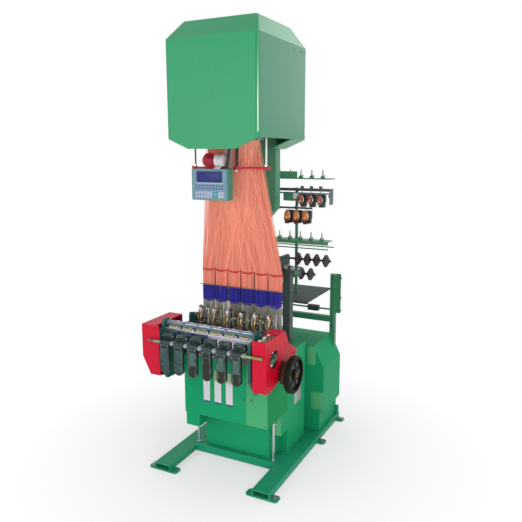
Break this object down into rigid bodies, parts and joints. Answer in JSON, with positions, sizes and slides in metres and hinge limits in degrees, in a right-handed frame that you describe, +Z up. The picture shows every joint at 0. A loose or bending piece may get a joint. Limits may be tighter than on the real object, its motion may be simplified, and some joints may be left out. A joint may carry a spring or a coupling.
{
  "type": "jacquard needle loom",
  "caption": "Tall narrow-fabric jacquard needle loom: hooded head over a fan of harness cords, weaving heads with presser levers, rear creel racks, cabinet base.",
  "frame": {"origin": "on the floor, at the centre of the rectangle of the four outer anchor holes", "axes": "+X to the operator's right along the front, +Y from the front to the back, +Z up"},
  "size_m": [0.923, 1.2465, 2.6],
  "materials": {
    "machine_green": "satin enamel",
    "light_grey": "satin enamel",
    "frame_green": "satin enamel",
    "cover_red": "gloss enamel",
    "dark_grey": "satin enamel",
    "steel": "brushed",
    "bright_steel": "polished",
    "bronze_rod": "satin",
    "teal_rod": "satin",
    "lever_dark": "satin enamel",
    "dark_green": "satin enamel",
    "harness_orange": "woven cord",
    "harness_blue": "woven cord",
    "harness_pale": "woven cord",
    "tape_fabric": "woven",
    "panel_grey": "satin enamel",
    "lamp_white": "matt",
    "lamp_red": "gloss",
    "cord_red": "satin",
    "conduit_black": "matt",
    "feeder_black": "matt",
    "roller_brown": "satin",
    "wheel_green": "painted"
  },
  "bodies": {
    "frame": {"base_frame": "frame_green", "beam_rods": "teal_rod", "blue_groups": "harness_blue", "breast_plate": "light_grey", "control_panel": "panel_grey", "cord_bar": "cord_red", "creel_posts": "steel", "front_door": "machine_green", "front_housing": "machine_green", "gantry_posts": "dark_grey", "gantry_spine": "frame_green", "harness_fan": "harness_orange", "head_core": "dark_grey", "head_cover": "machine_green", "heddle_groups": "harness_pale", "lamp_body": "lamp_white", "lamp_dome": "lamp_red", "left_cover": "cover_red", "left_side_frame": "dark_green", "lever_rod": "bronze_rod", "main_cabinet": "machine_green", "needle_units": "steel", "panel_conduits": "conduit_black", "pedestal": "machine_green", "pin_racks": "frame_green", "prop_rods": "bright_steel", "rear_housing": "machine_green", "rear_posts": "frame_green", "rear_rails": "frame_green", "right_cover": "cover_red", "right_side_frame": "dark_green", "spool_rack": "steel", "tray": "dark_grey", "weft_feeders": "feeder_black", "woven_tapes": "tape_fabric"},
    "handwheel_body": {"handwheel": "wheel_green", "main_shaft": "bright_steel"},
    "feed_upper": {"feed_shaft_upper": "roller_brown"},
    "feed_lower": {"feed_shaft_lower": "roller_brown"},
    "lever_1": {"presser_lever_1": "lever_dark"},
    "lever_2": {"presser_lever_2": "lever_dark"},
    "lever_3": {"presser_lever_3": "lever_dark"},
    "lever_4": {"presser_lever_4": "lever_dark"},
    "lever_5": {"presser_lever_5": "lever_dark"},
    "lever_6": {"presser_lever_6": "lever_dark"}
  },
  "joints": [
    {"name": "handwheel_spin", "type": "hinge", "parent": "frame", "child": "handwheel_body", "pos_m": [0.3, -0.43, 0.703], "axis": [1, 0, 0], "continuous": true},
    {"name": "feed_upper_spin", "type": "hinge", "parent": "frame", "child": "feed_upper", "pos_m": [0, 0.3, 1.205], "axis": [1, 0, 0], "continuous": true},
    {"name": "feed_lower_spin", "type": "hinge", "parent": "frame", "child": "feed_lower", "pos_m": [0, 0.3, 1.108], "axis": [1, 0, 0], "continuous": true},
    {"name": "presser_lever_1", "type": "hinge", "parent": "frame", "child": "lever_1", "pos_m": [-0.229, -0.65, 0.848], "axis": [-1, 0, 0], "range_deg": [0, 40], "stiffness_Nm_per_rad": 1, "springref_deg": -28.65},
    {"name": "presser_lever_2", "type": "hinge", "parent": "frame", "child": "lever_2", "pos_m": [-0.1374, -0.65, 0.848], "axis": [-1, 0, 0], "range_deg": [0, 40], "stiffness_Nm_per_rad": 1, "springref_deg": -28.65},
    {"name": "presser_lever_3", "type": "hinge", "parent": "frame", "child": "lever_3", "pos_m": [-0.0458, -0.65, 0.848], "axis": [-1, 0, 0], "range_deg": [0, 40], "stiffness_Nm_per_rad": 1, "springref_deg": -28.65},
    {"name": "presser_lever_4", "type": "hinge", "parent": "frame", "child": "lever_4", "pos_m": [0.0458, -0.65, 0.848], "axis": [-1, 0, 0], "range_deg": [0, 40], "stiffness_Nm_per_rad": 1, "springref_deg": -28.65},
    {"name": "presser_lever_5", "type": "hinge", "parent": "frame", "child": "lever_5", "pos_m": [0.1374, -0.65, 0.848], "axis": [-1, 0, 0], "range_deg": [0, 40], "stiffness_Nm_per_rad": 1, "springref_deg": -28.65},
    {"name": "presser_lever_6", "type": "hinge", "parent": "frame", "child": "lever_6", "pos_m": [0.229, -0.65, 0.848], "axis": [-1, 0, 0], "range_deg": [0, 40], "stiffness_Nm_per_rad": 1, "springref_deg": -28.65}
  ]
}
